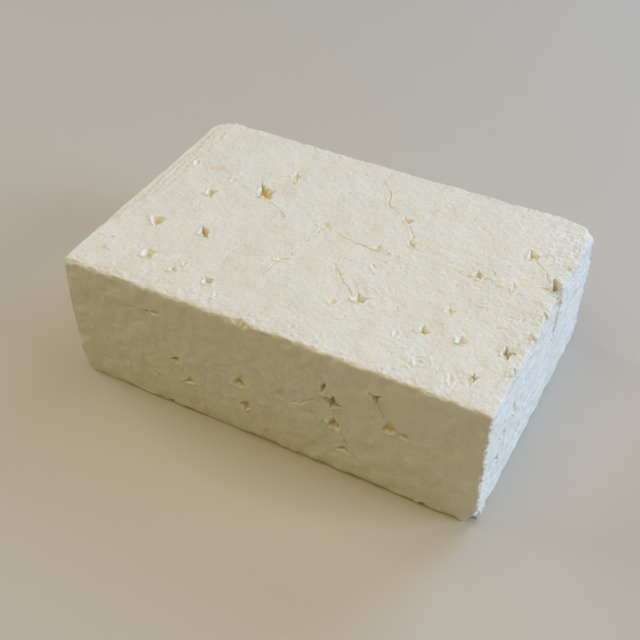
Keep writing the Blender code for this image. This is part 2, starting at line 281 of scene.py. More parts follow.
relief = np.zeros(len(surface))
for across, depth, deeper_on_front, seed in SWELLS:
    relief += (depth + deeper_on_front * on_front) * noise(surface, across, seed)
relief += crumbly * sum(depth * noise(surface, across, seed) for across, depth, seed in GRAINS)
wire_lines = noise(surface, WIRE_LINE_SIZE, 6) * on_top
wire_lines *= ease((x + y * WIRE_LINE_SLANT - WIRE_LINES_FROM) / WIRE_LINES_BLEND)
relief += WIRE_LINE_DEPTH * wire_lines
torn = noise(surface, STREAK_SIZE, 7) + THREAD_SHARE * noise(surface, THREAD_SIZE, 8)
relief += TORN_DEPTH * torn * on_cut_end
crumbly = np.maximum(crumbly, TORN_CRUMBLY * on_cut_end)

# Edges with bits missing: the distances from their two faces, and how deep the bits go.
CRUMBLED_EDGES = (
    (HALF[0] - x, 2 * HALF[2] - z, 0.8),
    (HALF[0] - x, HALF[1] + y, 0.5),
    (HALF[1] - y, 2 * HALF[2] - z, 0.5),
    (HALF[1] + y, 2 * HALF[2] - z, 0.2),
    (HALF[1] + y, z, 0.4),
)
EDGE_REACH = 1.3
bits = 0.6 * noise(surface, 2.2, 13) + 0.5 * noise(surface, 1.0, 14) + 0.1
for from_one, from_other, depth in CRUMBLED_EDGES:
    relief -= depth * np.exp(-(np.hypot(from_one, from_other) / EDGE_REACH) ** 2) * np.clip(bits, 0, 1)

# Curd lumps, pits and flecks. Where the lumps of curd meet, the skin dips by a hair, here and
# there, and all over it are small pits, and raised flecks no larger than a pinhead.
LUMP_SIZE = 6.5
SEAM_DEPTH = 0.07
SEAM_WIDTH = 0.28
PIT_SPACING = 2.3
PIT_REACH = 0.42
PIT_DEPTH = 0.28
FLECK_SPACING = 1.5
FLECK_REACH = 0.3
FLECK_HEIGHT = 0.22

# The share of places with a pit or a fleck, with what crumbling adds to it, and how much less of
# them and of the seams shows on the smooth front.
PIT_SHARE = 0.2
PITS_BY_CRUMBLING = 0.25
FLECK_SHARE = 0.06
FLECKS_BY_CRUMBLING = 0.4
FRONT_PRICKED_LESS = 0.5
FRONT_SEAMED_LESS = 0.7

wobble = np.stack([noise(surface, 1.7, 20 + k) for k in range(3)], axis=1)
first, second, mark = curd_seeds(surface + 0.5 * wobble, LUMP_SIZE, 31)
seam = np.exp(-(((second - first) / SEAM_WIDTH) ** 2)) * ease((noise(surface, 5.0, 32) + 0.15) / 0.5)
relief -= SEAM_DEPTH * seam * (1 - FRONT_SEAMED_LESS * on_front)
first, second, mark = curd_seeds(surface + 0.15 * wobble, PIT_SPACING, 33)
pitted = (mark < PIT_SHARE + PITS_BY_CRUMBLING * crumbly) * (1 - FRONT_PRICKED_LESS * on_front)
relief -= PIT_DEPTH * pitted * ease(1.2 - first / (PIT_REACH * (0.5 + 2.5 * mark)))
first, second, mark = curd_seeds(surface + 0.15 * wobble, FLECK_SPACING, 34)
flecked = (mark < FLECK_SHARE + FLECKS_BY_CRUMBLING * crumbly) * (1 - FRONT_PRICKED_LESS * on_front)
relief += FLECK_HEIGHT * flecked * ease(1.6 - first / (FLECK_REACH * (0.5 + 2 * mark)))

# The old end. It was the outside of the larger slab, and its top edge slopes away in thin steps
# where layers of skin came off one after another.
STEP_FROM_END = (5.2, 3.7, 2.3)
STEP_DROP = (0.1, 0.15, 0.3)
STEP_RUN = 0.25
STEP_LIP = 0.1
STEP_WANDER = 1.0
STEP_RAGGED = 0.6

# The steps draw together towards the front, by this share, from this far in front of the middle.
STEP_TAPER = 0.75
TAPER_FROM = 8
TAPER_RUN = 18

from_old_end = x + HALF[0]
taper = 1 - STEP_TAPER * ease((-y - TAPER_FROM) / TAPER_RUN)
for k, (reach, drop) in enumerate(zip(STEP_FROM_END, STEP_DROP)):
    bend = noise(surface, (STEADY, 6.0, STEADY), 41 + k) + STEP_RAGGED * noise(surface, 1.0, 44 + k)
    past = (reach * taper + STEP_WANDER * bend - from_old_end) / STEP_RUN
    relief += on_top * (STEP_LIP * np.exp(-((past + 1) ** 2)) - drop * ease(past))

set_back = (SKIN_SET_BACK - relief) * above_base
points = surface - outward * np.maximum(set_back, 0)[:, None]

# The foot. Brine has softened the rim that the block stands on, so that its sides draw in towards
# the floor, more in some places than in others, and a dark line runs round it.
FOOT_HEIGHT = 1.0
FOOT_DRAWN_IN = 0.8

foot_wave = 0.5 + 0.4 * noise(surface, (5.0, 5.0, STEADY), 15)
foot_wave += 0.3 * noise(surface, (1.5, 1.5, STEADY), 16)
drawn_in = FOOT_DRAWN_IN * np.exp(-((z / FOOT_HEIGHT) ** 2)) * foot_wave
points[:, :2] -= outward[:, :2] * drawn_in[:, None]


# Broken edges. A corner has snapped off at the foot, where the cut end meets the front, and the
# top has lost shallow chips along its front edge and its back edge. Each chip has its place along
# the block, its side, the way it faces, its depth and half its length.
FOOT_CORNER_FACING = (1, -1, -0.7)
FOOT_CORNER_DEPTH = 2.6
TOP_EDGE_CHIPS = (
    (-8.5, -1, (0.1, -1, 1.1), 1.2, 4.6),
    (-5.5, -1, (0.5, -1, 0.7), 1.3, 2.6),
    (-37.2, 1, (0.3, 1, 1), 0.55, 2.4),
    (-2.6, 1, (0.2, 1, 1), 0.5, 3.0),
    (28.4, 1, (0.2, 1, 1), 0.6, 3.2),
)


def chip(points, place, facing, depth, along=(0, 0, 1), reach=1e9):
    """Draws points that stand beyond a plane back onto it. The plane lies depth below the place,
    square to its facing, and rises as the square of the distance along the edge over reach."""
    facing = np.array(facing, float) / np.linalg.norm(facing)
    local = points - np.array(place, float)
    rise = (local @ np.array(along, float) / reach) ** 2
    uneven = 0.25 * noise(points, 1.6, 51) + 0.15 * noise(points, 0.7, 52)
    beyond = local @ facing + depth * (1 - rise + uneven)
    points -= np.outer(np.maximum(beyond, 0) * (rise < 1), facing)


chip(points, (HALF[0], -HALF[1], 0), FOOT_CORNER_FACING, FOOT_CORNER_DEPTH)
for place, side, facing, depth, reach in TOP_EDGE_CHIPS:
    chip(points, (place, side * HALF[1], 2 * HALF[2]), facing, depth, along=(1, 0, 0), reach=reach)

# The openings. Drained curd is ladled into moulds in lumps that never knit quite shut, so each
# face cuts through star-shaped gaps between them, with steep walls and arms that thin to a hair.

# Each row is a centre along and up its face, the direction in degrees of its first arm, its
# depth, and the lengths of its arms, spread evenly round it. The solid has the same ones.
TOP_OPENINGS = (
    (-22.9, 9.4, 128, 3.2, (3.9, 1.2, 3.6, 3.0)),
    (-33.9, 3.0, 45, 1.8, (2.0, 2.0, 1.4, 1.8)),
    (-38.7, -11.7, 40, 1.8, (2.6, 2.0, 1.5)),
    (-27.1, -10.4, 132, 2.8, (2.7, 1.5, 2.6, 1.3)),
    (-33.7, -22.5, 50, 1.6, (2.6, 1.4, 1.5, 2.4)),
    (-25.8, -24.9, 115, 1.4, (1.4, 1.0, 1.0)),
    (-17.0, -24.4, 55, 1.8, (1.4, 1.5, 1.3, 1.5)),
    (-24.4, -21.9, 105, 0.8, (1.2, 1.2)),
    (-43.8, 12.3, 108, 0.7, (2.0, 2.0)),
    (-19.7, 18.8, 30, 1.1, (2.0, 3.0, 1.5, 2.8)),
    (-6.8, -10.6, 45, 1.6, (1.7, 1.7)),
    (-4.4, 5.1, 330, 0.8, (3.0, 2.0, 2.0)),
    (9.8, 3.1, 340, 0.8, (1.6, 1.5, 1.5)),
    (13.8, -14.5, 30, 1.8, (2.0, 2.0, 1.8, 1.2)),
    (9.4, -18.0, 50, 0.8, (1.2, 1.4, 1.1)),
    (13.3, -21.0, 45, 0.7, (1.1, 1.1)),
    (11.6, -3.5, 125, 0.6, (1.6, 1.9)),
    (11.3, 15.4, 35, 1.3, (1.6, 1.5, 1.6)),
    (15.7, 7.6, 315, 1.3, (2.0, 1.0, 1.6, 1.1)),
    (32.6, 4.2, 20, 1.8, (1.7, 1.6, 1.7, 1.3)),
    (40.2, 4.2, 20, 0.8, (2.0, 2.5, 2.0, 2.5)),
    (40.7, 16.0, 5, 2.0, (1.7, 2.4, 1.7)),
    (31.6, -9.2, 25, 1.3, (1.2, 1.2, 1.2, 0.9)),
    (29.2, -17.2, 15, 1.8, (1.6, 2.0, 1.5, 1.5)),
    (37.1, -16.5, 340, 1.3, (1.6, 1.9, 1.2)),
    (46.3, -15.3, 110, 2.8, (1.8, 1.0, 2.0, 2.0)),
    (42.9, -24.7, 20, 2.0, (1.5, 1.7, 1.4, 1.5)),
    (24.6, -20.5, 105, 0.6, (2.0, 1.1)),
    (22.1, -13.9, 135, 0.7, (1.5, 1.5)),
    (39.2, -27.2, 108, 0.6, (1.9, 1.9)),
    (43.1, -6.4, 5, 0.6, (1.8, 1.6)),
    (48.3, 7.9, 120, 3.6, (3.5, 2.3, 3.8, 2.8)),
    (31.8, -26.1, 20, 0.7, (1.2, 1.4, 1.1)),
    (-13.2, -27.4, 30, 0.6, (1.2, 1.0, 1.1)),
    (-32.0, 10.1, 60, 0.6, (1.1, 0.9, 1.0)),
)
FRONT_OPENINGS = (
    (-25.9, 26.9, 350, 0.8, (2.0, 1.7)),
    (-21.4, 15.1, 315, 1.3, (2.1, 1.5, 1.6)),
    (-18.5, 10.1, 330, 1.0, (1.6, 1.3, 1.6)),
    (-27.4, 7.9, 335, 0.6, (2.0, 2.0)),
    (-34.8, 7.1, 303, 0.6, (1.5, 1.0)),
    (-5.2, 15.6, 85, 1.7, (1.9, 1.8, 1.5)),
    (-4.1, 9.2, 75, 1.7, (1.6, 1.3, 1.4, 1.4)),
    (4.9, 16.1, 355, 0.6, (2.0, 1.2)),
    (14.6, 23.5, 88, 1.8, (2.2, 2.0)),
    (16.7, 20.6, 350, 3.2, (2.6, 1.9, 3.1, 2.2)),
    (17.3, 14.5, 90, 2.0, (2.2, 1.7, 1.4)),
    (26.2, 26.6, 285, 2.0, (2.3, 1.7, 1.6)),
    (29.7, 19.7, 100, 1.2, (2.3, 2.4, 1.9)),
    (33.2, 18.8, 55, 1.0, (1.8, 1.6, 1.3)),
    (19.7, 7.9, 330, 1.0, (2.0, 1.3, 2.7)),
    (37.8, 8.9, 335, 0.5, (1.5, 1.3)),
)
CUT_END_OPENINGS = (
    (7.5, 31.4, 271, 2.4, (4.2, 2.8, 2.6)),
    (6.9, 26.3, 96, 2.4, (5.6, 1.3, 6.6, 1.3)),
    (-16.6, 20.4, 116, 0.9, (4.6, 4.2)),
    (-21.3, 17.6, 87, 0.9, (2.5, 2.8)),
    (-24.6, 12.6, 67, 0.8, (2.4, 2.7)),
    (19.5, 13.9, 62, 0.7, (1.4, 1.5)),
    (30.8, 7.0, 106, 0.7, (2.1, 2.4)),
)

# Bites out of edges. The solid's other bites, at the top's back edge, are chips here.
TOP_EDGE_BITES = (
    (49.6, -20.0, 0, 1.2, (1.5, 1.7, 1.4)),
    (49.9, -9.0, 40, 1.0, (1.5, 1.3, 1.6)),
    (50.0, -1.8, 20, 0.8, (1.3, 1.5, 1.2)),
    (49.9, 15.6, 60, 0.9, (1.5, 1.6, 1.3)),
    (50.0, 23.5, 10, 0.8, (1.4, 1.2, 1.4)),
)
FRONT_FOOT_BITES = (
    (-24.2, 0.0, 0, 1.0, (2.4, 1.0, 2.6, 1.0)),
    (3.2, 0.0, 0, 0.8, (3.6, 0.8, 3.4, 0.8)),
    (14.0, 0.0, 0, 0.8, (1.2, 0.9, 1.2, 0.9)),
    (38.0, 0.0, 0, 0.8, (1.8, 0.8, 1.5, 0.8)),
)

# The faces that the photo hides get theirs by rule, in the same places as the solid's.
SCATTER_SEED = 227
BACK_COUNT = 17
OLD_END_COUNT = 11
BASE_COUNT = 18
SCATTER_MARGIN = 4.5
SCATTER_GAP = 6.5
SCATTER_REACH = (0.9, 2.4)
SCATTER_ARMS = (2, 5)
ARM_SHARES = (0.6, 1.1)
DEPTH_SHARES = (0.5, 1.1)
BASE_MIDDLE = (0.0, 0.0)

# The outline of an opening. Waists between arms are shares of the arms' mean length, and vary.
# Towards an arm's tip the outline grows as a power of the way there, so that the lumps' sides
# bulge into the opening. Its rim wanders and is ragged.
WAIST_SHARE = 0.56
SLIT_WAIST_SHARE = 0.3
SLIT_HALF_WIDTH = 0.8
WAIST_SPREAD = 0.35
ARM_STRETCH = 1.15
RIM_WANDER = 0.3
RIM_RAGGED = 0.25
TWIST = 9
ARM_POWER = 3.2

# Its walls and its rim. Towards the soft side, a direction in degrees, the wall slopes and the
# lip fades. A lip is full from this depth of opening. The skin is dished beyond the lip.
WALL_POWER = (3.4, 2.2)
SOFT_SIDE = 60
FLOOR_SHARE = 0.95
FLOOR_UNEVEN = 0.25
LIP_HEIGHT = 0.24
LIP_WIDTH = 0.25
LEAST_LIP = 0.3
FULL_LIP_DEPTH = 2.2
# PALE_WIDTH is the width of a painted highlight along the lip, strongest on the side away from the soft side.
PALE_WIDTH = 0.35
DISH_DEPTH = 0.12
DISH_WIDTH = 0.8

FACES = {
    "top": ((1, 0, 0), (0, 1, 0), (0, 0, HALF[2])),
    "front": ((1, 0, 0), (0, 0, 1), (0, -HALF[1], -HALF[2])),
    "cut_end": ((0, 1, 0), (0, 0, 1), (HALF[0], 0, -HALF[2])),
    "back": ((-1, 0, 0), (0, 0, 1), (0, HALF[1], -HALF[2])),
    "old_end": ((0, -1, 0), (0, 0, 1), (-HALF[0], 0, -HALF[2])),
    "base": ((-1, 0, 0), (0, 1, 0), (0, 0, -HALF[2])),
}


def scatter(rng, count, width, low, high, whole=()):
    """Openings by rule on a face this wide, between two heights: places drawn evenly and kept
    apart from each other and from the places that stay whole, with arms of uneven length."""
    placed = list(whole)
    while len(placed) < count + len(whole):
        across = rng.uniform(SCATTER_MARGIN - width / 2, width / 2 - SCATTER_MARGIN)
        up = rng.uniform(low + SCATTER_MARGIN, high - SCATTER_MARGIN)
        if any(np.hypot(across - other[0], up - other[1]) < SCATTER_GAP for other in placed):
            continue
        reach = rng.uniform(*SCATTER_REACH)
        arms = tuple(reach * rng.uniform(*ARM_SHARES, rng.integers(*SCATTER_ARMS)))
        placed.append((across, up, rng.uniform(0, 360), reach * rng.uniform(*DEPTH_SHARES), arms))
    return placed[len(whole):]


def outline(bearing, opening):
    """How far an opening reaches in each direction. Its corners are tips and waists in turn, a
    step apart, varied by a sine of their number and the opening's place. Between a waist w and a
    tip r the reach is w + (r - w) t^p."""
    across, up, turn, depth, arms = opening
    corners = 2 * len(arms)
    mean = sum(arms) / len(arms)
    waist = WAIST_SHARE * mean if len(arms) > 2 else min(SLIT_WAIST_SHARE * mean, SLIT_HALF_WIDTH)
    odd = np.sin(12.9 * np.arange(corners) + 7.1 * across + 3.3 * up)
    reach = waist * (1 + WAIST_SPREAD * odd)
    reach[::2] = np.multiply(arms, ARM_STRETCH)
    corner_at = np.radians(turn + TWIST * odd) + 2 * pi / corners * np.arange(corners)
    after_first = (bearing - corner_at[0]) % (2 * pi)
    stops = np.append((corner_at - corner_at[0]) % (2 * pi), 2 * pi)
    k = np.clip(np.searchsorted(stops, after_first, side="right") - 1, 0, corners - 1)
    t = (after_first - stops[k]) / (stops[k + 1] - stops[k])
    leaves_tip = k % 2 == 0
    toward_tip = np.where(leaves_tip, 1 - t, t)
    tip = np.where(leaves_tip, reach[k], reach[(k + 1) % corners])
    side = np.where(leaves_tip, reach[(k + 1) % corners], reach[k])
    return side + (tip - side) * toward_tip**ARM_POWER, waist


def open_star(points, face, opening):
    """Sinks one opening: what lies in its outline goes down to its floor. With q the distance over
    the outline's reach, the floor lies at D (1 - q^p) / (1 + (distance / fall)^2). Its wall slopes
    on one side, where p is small, and is steep across from it, under a thin lip of torn curd.
    Around it the skin is dished. Gives back each point's depth in it, and how much painted highlight its lip
    takes there."""
    across, up, turn, depth, arms = opening
    along, rise, middle = (np.array(v, float) for v in FACES[face])
    spot = worn((middle + across * along + up * rise)[None])[0][0]
    out = np.cross(along, rise)
    close = np.flatnonzero(np.abs(points - spot).max(axis=1) < max(max(arms), depth) + DISH_WIDTH)
    local = points[close] - spot
    s, t, h = local @ along, local @ rise, local @ out
    s, t = s + RIM_WANDER * noise(points[close], 0.9, 61), t + RIM_WANDER * noise(points[close], 0.9, 62)
    distance = np.hypot(s, t)
    bearing = np.arctan2(t, s)
    softness = np.cos(bearing - radians(SOFT_SIDE))
    reach, waist = outline(bearing, opening)
    reach = reach * (1 + RIM_RAGGED * noise(points[close], 0.6, 65))
    q = distance / reach
    floor = FLOOR_SHARE * depth * (1 - np.minimum(q, 1) ** (WALL_POWER[0] - WALL_POWER[1] * softness))
    floor /= 1 + (distance / max(3 * waist, 0.6 * max(arms))) ** 2
    floor *= 1 + FLOOR_UNEVEN * noise(points[close], 0.8, 63)
    sunk = np.maximum(h + floor, 0) * (q < 1)
    outside = np.maximum(distance - reach, 0)
    lip_share = min(LEAST_LIP + depth / FULL_LIP_DEPTH, 1)
    lip = LIP_HEIGHT * np.exp(-((outside / LIP_WIDTH - 1) ** 2)) * (1 - 0.8 * softness)
    lip *= lip_share * (1 + 0.8 * noise(points[close], 0.8, 64))
    dish = DISH_DEPTH * np.exp(-((outside / DISH_WIDTH) ** 2))
    points[close] += np.outer((lip - dish) * (q >= 1) * (h > -1) - sunk, out)
    sunk_depth, lit_lip_highlight = np.zeros((2, len(points)))
    sunk_depth[close] = sunk
    # Painted highlight: the lip is painted paler, most on the side away from the soft side, where its flank
    # takes the light.
    at_rim = np.exp(-(((distance - reach) / PALE_WIDTH) ** 2)) * (0.5 - 0.4 * softness) * lip_share
    lit_lip_highlight[close] = np.where(outside < 2 * LIP_WIDTH, np.maximum(at_rim, 0.01), 0) * (h > -1)
    return sunk_depth, lit_lip_highlight


rng = np.random.default_rng(SCATTER_SEED)
long, wide, tall = 2 * HALF
openings = {
    "top": TOP_OPENINGS + TOP_EDGE_BITES,
    "front": FRONT_OPENINGS + FRONT_FOOT_BITES,
    "cut_end": CUT_END_OPENINGS,
    "back": scatter(rng, BACK_COUNT, long, 0, tall),
    "old_end": scatter(rng, OLD_END_COUNT, wide, 0, tall),
    "base": scatter(rng, BASE_COUNT, long, -wide / 2, wide / 2, whole=(BASE_MIDDLE,)),
}

# The hairlines. Cracks as fine as a hair run from opening to opening along the lumps' seams.
# Each is a line of places along and up its face.
HAIR_DEPTH = 0.35
HAIR_BRIM = 0.1
HAIR_WIDTH = 0.17
BRIM_FROM_HAIR = 2.2
HAIR_WOBBLE = 0.45
HAIR_RAGGED = 0.32
TOP_HAIRS = (
    ((-19.6, 6.2), (-14.8, 3.8), (-13.5, 3.1)),
    ((-4.5, 4.9), (-4.5, 0.0), (-5.6, -3.8), (-6.3, -9.3)),
    ((-7.6, -12.0), (-8.2, -17.2)),
    ((-1.3, 3.2), (1.1, 2.1), (8.0, 1.4), (12.8, 1.7)),
    ((11.9, -14.4), (7.2, -10.4), (4.3, -7.1), (3.2, -6.8)),
    ((-0.3, 26.6), (2.8, 23.4), (4.8, 18.7), (8.0, 16.4)),
    ((12.2, 13.4), (15.5, 8.5)),
    ((34.3, 4.4), (37.7, 2.4)),
    ((41.5, 15.2), (43.6, 12.2), (45.2, 10.6), (47.0, 8.6)),
    ((17.0, 6.4), (18.8, 5.4)),
)
FRONT_HAIRS = (
    ((17.3, 18.6), (17.4, 16.2)),
    ((18.2, 14.0), (20.4, 9.8)),
    ((12.0, 15.8), (14.0, 13.1), (15.4, 13.9)),
    ((4.6, 16.2), (6.6, 16.0), (9.5, 17.0), (13.6, 19.7)),
    ((21.5, 7.5), (23.2, 5.8)),
    ((26.8, 24.8), (28.3, 21.5)),
    ((-34.8, 25.4), (-27.2, 27.0)),
)
CUT_END_HAIRS = (
    ((8.3, 20.4), (9.0, 16.8)),
)


def from_line(u, v, line):
    """The distance of places (u, v) from a line through these corners."""
    best = np.full(len(u), 9.0)
    for (u0, v0), (u1, v1) in zip(line[:-1], line[1:]):
        du, dv = u1 - u0, v1 - v0
        t = np.clip(((u - u0) * du + (v - v0) * dv) / (du * du + dv * dv), 0, 1)
        best = np.minimum(best, np.hypot(u - u0 - t * du, v - v0 - t * dv))
    return best


hair = np.zeros(len(surface))
brim = np.zeros(len(surface))
ragged = [noise(surface, 0.7, 72 + k) for k in range(2)]
wander = [HAIR_WOBBLE * wobble[:, k] + HAIR_RAGGED * ragged[k] for k in range(2)]
for hairs, u, v, on_its_face in (
    (TOP_HAIRS, x, y, on_top),
    (FRONT_HAIRS, x, z, on_front),
    (CUT_END_HAIRS, y, z, on_cut_end),
):
    for line in hairs:
        away = from_line(u + wander[0], v + wander[1], line)
        hair = np.maximum(hair, np.exp(-((away / HAIR_WIDTH) ** 2)) * on_its_face)
        brim = np.maximum(brim, np.exp(-((away / HAIR_WIDTH - BRIM_FROM_HAIR) ** 2)) * on_its_face)
beaded = 0.4 + 0.6 * ease((noise(surface, 1.3, 71) + 0.5) / 0.6)
points += outward * (beaded * (HAIR_BRIM * brim - HAIR_DEPTH * hair))[:, None]

# Loose curd. A smear of curd sticks to the front near the old end, and crumbs lie on the top. The
# smear has its place along and up, its turn in degrees, half its length and width, and how far it
# stands out. A crumb has its place, half its length, and its height.
SMEAR = (-36.7, 26.7, -28, 1.7, 1.1, 0.6)
CRUMB_TURN = 30
CRUMB_SLIMNESS = 0.8
CRUMBS = ((-43.7, -21.1, 0.8, 0.45), (-43.2, -25.0, 0.7, 0.35), (-41.9, -25.4, 0.4, 0.25))


def lump_height(u, v, place, turn, long_half, short_half):
    """1 in the middle of an oval lump, falling by 1 - q^2 to 0 at its rim, with an uneven rim."""
    a = radians(turn)
    du, dv = u - place[0], v - place[1]
    s, t = du * cos(a) + dv * sin(a), dv * cos(a) - du * sin(a)
    q = np.hypot(s / long_half, t / short_half) + 0.35 * wobble[:, 2]
    return np.clip(1.3 * (1 - q * q), 0, 1)


smear = lump_height(x, z, SMEAR[:2], SMEAR[2], SMEAR[3], SMEAR[4]) * on_front
points += outward * (SMEAR[5] * smear)[:, None]
for across, up, reach, rise in CRUMBS:
    crumb = lump_height(x, y, (across, up), CRUMB_TURN, reach, CRUMB_SLIMNESS * reach) * on_top
    points += outward * (rise * crumb)[:, None]

# The openings are cut last, through all of that, and what stands past the block's size is drawn in.
# rims gathers each point's painted lip highlight on the top, the front and the cut end.
opened, rims = np.zeros((2, len(points)))
for face, stars in openings.items():
    for star in stars:
        sunk_depth, lit_lip_highlight = open_star(points, face, star)
        opened = np.maximum(opened, sunk_depth)
        rims = np.maximum(rims, lit_lip_highlight * (face in ("top", "front", "cut_end")))
points = np.clip(points, (-HALF[0], -HALF[1], 0), (HALF[0], HALF[1], 2 * HALF[2]))


# The block's mesh. The net is thinned to just under what a piece may have, where it is flattest
# and away from the openings and hairlines.
MOST_TRIANGLES = 190000
SHARP_FROM = 48

# A tan stain on the top near the old end, and a painted warm glow along its front edge: a tan tint that
# stands in for light carried through the curd at the edge. Their places, reach and strength. The depth of an
# opening at which its painted ochre shade starts, and how soon it is full.
STAIN_PLACE = (-37, 12.7)
STAIN_REACH = (3.6, 1.1)
STAIN_SLANT = 0.1
STAINED = 0.8
EDGE_GLOW_REACH = 4.5
EDGE_GLOW_STRENGTH = 0.12
OCHRE_FROM = 0.2
OCHRE_RUN = 1.2


def closed_mesh(name, corners, cells):
    """A mesh from arrays of corners in millimetres and of four-sided cells."""
    mesh = bpy.data.meshes.new(name)
    mesh.vertices.add(len(corners))
    mesh.vertices.foreach_set("co", (corners / 1000).astype(np.float32).ravel())
    mesh.loops.add(cells.size)
    mesh.loops.foreach_set("vertex_index", cells.astype(np.int32).ravel())
    mesh.polygons.add(len(cells))
    mesh.polygons.foreach_set("loop_start", np.arange(0, cells.size, 4, dtype=np.int32))
    mesh.update(calc_edges=True)
    return mesh


def keep(mesh, name, values):
    """Keeps a number for each corner as an attribute that the material reads."""
    attribute = mesh.attributes.new(name, "FLOAT", "POINT")
    attribute.data.foreach_set("value", values.astype(np.float32))


stain_x = x - STAIN_PLACE[0]
stain_y = y - STAIN_PLACE[1] - STAIN_SLANT * stain_x
stain_away = np.hypot(stain_x / STAIN_REACH[0], stain_y / STAIN_REACH[1])
stain = STAINED * on_top * ease(1.25 - stain_away + 0.4 * wobble[:, 0])
# Painted warm glow: the top is tinted tan along its front edge, as light carried through the curd there would
# make it.
edge_glow = EDGE_GLOW_STRENGTH * on_top * ease(1.3 - (HALF[1] + y + 1.0) / EDGE_GLOW_REACH + 0.6 * rim_wander)
net = bpy.data.objects.new("net", closed_mesh("feta", points, cells))
# opening_depth marks where the openings are painted ochre deeper in: painted shade for the light bounced and
# carried through the curd inside them.
keep(net.data, "opening_depth", ease((opened - OCHRE_FROM) / OCHRE_RUN))
# The stain attribute carries the real stain and also the painted warm glow along the top's front edge.
keep(net.data, "stain", np.maximum(stain, edge_glow))
keep(net.data, "crumbly", crumbly)
keep(net.data, "torn", on_cut_end)
# pale carries the painted highlight on the openings' lips, and paler flecks where the skin is crumbled.
keep(net.data, "pale", np.maximum(rims, 0.5 * flecked * crumbly))
bpy.context.scene.collection.objects.link(net)
fine = net.vertex_groups.new(name="fine")
fine.add(np.flatnonzero((rims > 0) | (hair > 0.1)).tolist(), 1.0, "REPLACE")
thin = net.modifiers.new("thin", "DECIMATE")
thin.ratio = min(1.0, MOST_TRIANGLES / (2 * len(cells)))
thin.vertex_group = "fine"
thin.invert_vertex_group = True
bpy.context.view_layer.update()
thinned = bpy.data.meshes.new_from_object(net.evaluated_get(bpy.context.evaluated_depsgraph_get()))
bpy.data.objects.remove(net)
thinned.name = "feta"
thinned.shade_smooth()
thinned.set_sharp_from_angle(angle=radians(SHARP_FROM))
feta = bpy.data.objects.new("feta", thinned)
bpy.context.scene.collection.objects.link(feta)


# The curd: the widths in millimetres of its patches, grain and streaks, the shares along each axis
# that stretch the streaks, and the depth in metres of the grain and of the light in it.
PATCH_WIDTH = 9.0
GRAIN_WIDTH = 1.1
STREAK_WIDTH = 1.0
STREAK_STRETCH = (1, 0.2, 1)
GRAIN_DEPTH = 0.0006
LIGHT_DEPTH = 0.0006


def linear(hex_colour):
    """An sRGB hex colour as linear red, green, blue and alpha."""
    srgb = np.array([int(hex_colour[k:k + 2], 16) / 255 for k in (0, 2, 4)])
    values = np.where(srgb <= 0.04045, srgb / 12.92, ((srgb + 0.055) / 1.055) ** 2.4)
    return (*values.tolist(), 1.0)


def add(nodes, kind, settings=None, **inputs):
    """Adds a node, sets its properties and its sockets, and links a socket given another's output.
    A socket is named with _ for each space, or numbered after a _."""
    node = nodes.new(kind)
    for key, value in (settings or {}).items():
        setattr(node, key, value)
    for key, value in inputs.items():
        socket = node.inputs[int(key[1:]) if key[1:].isdigit() else key.replace("_", " ")]
        if isinstance(value, bpy.types.NodeSocket):
            nodes.id_data.links.new(value, socket)
        else:
            socket.default_value = value
    return node


